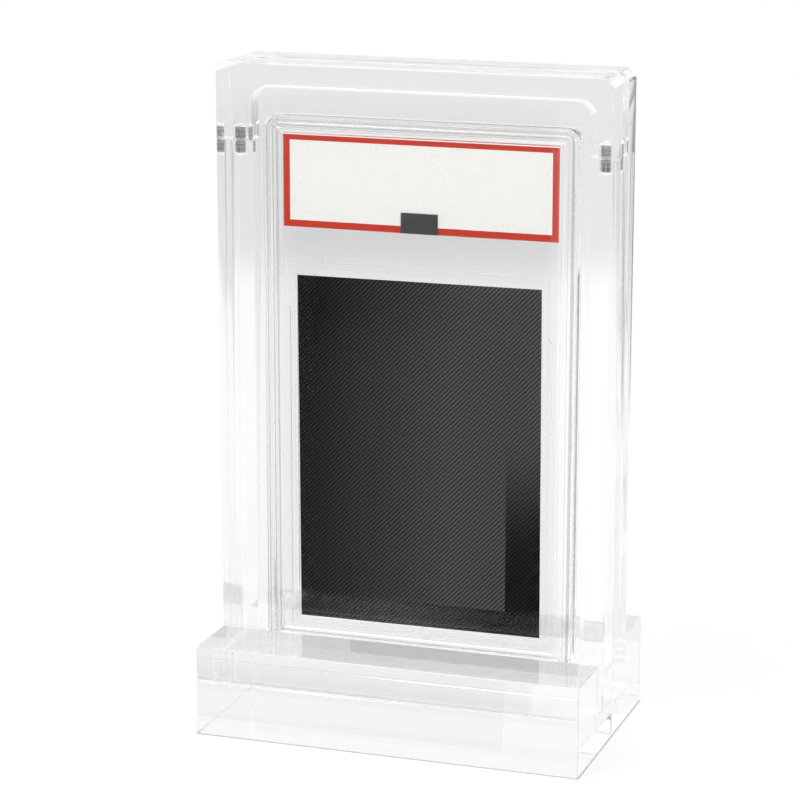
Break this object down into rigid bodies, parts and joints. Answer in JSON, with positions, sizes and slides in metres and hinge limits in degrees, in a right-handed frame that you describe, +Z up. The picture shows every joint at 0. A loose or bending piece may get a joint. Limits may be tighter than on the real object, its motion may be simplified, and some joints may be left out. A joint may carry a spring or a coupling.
{
  "type": "trading card display case",
  "caption": "Clear three-layer acrylic case with a pocket for a graded trading card in its clear holder, a magnetic lift-out cap and a slotted block stand.",
  "frame": {"origin": "centre of the stand's underside, on the surface that it rests on", "axes": "+Z up; +X to the right of somebody who looks at the card; +Y away from them, towards the back plate"},
  "size_m": [0.101, 0.0604, 0.1675],
  "materials": {
    "stand_acrylic": "gloss",
    "case_acrylic": "gloss",
    "magnet_nickel": "gloss",
    "holder_plastic": "gloss",
    "card_print": "satin",
    "label_red": "satin",
    "label_white": "satin",
    "label_dark": "satin"
  },
  "bodies": {
    "stand": {"stand_base": "stand_acrylic"},
    "case": {"case_front_plate": "case_acrylic", "case_frame": "case_acrylic", "case_back_plate": "case_acrylic", "frame_magnet_left": "magnet_nickel", "frame_magnet_right": "magnet_nickel"},
    "cap": {"case_cap": "case_acrylic", "cap_magnet_left": "magnet_nickel", "cap_magnet_right": "magnet_nickel"},
    "holder": {"holder_front_shell": "holder_plastic", "holder_rear_shell": "holder_plastic", "card": "card_print", "label_backing": "label_red", "label_face": "label_white", "label_tab": "label_dark"}
  },
  "joints": [
    {"name": "case_lift", "type": "slide", "parent": "stand", "child": "case", "axis": [0, 0, 1], "range_m": [0, 0.03]},
    {"name": "cap_lift", "type": "slide", "parent": "case", "child": "cap", "axis": [0, 0, 1], "range_m": [0, 0.19]},
    {"name": "holder_slide", "type": "slide", "parent": "case", "child": "holder", "axis": [0, 0, 1], "range_m": [0, 0.135]}
  ],
  "couplings": [
    {"joint": "holder_slide", "follows": "cap_lift", "ratio": 0.7}
  ]
}
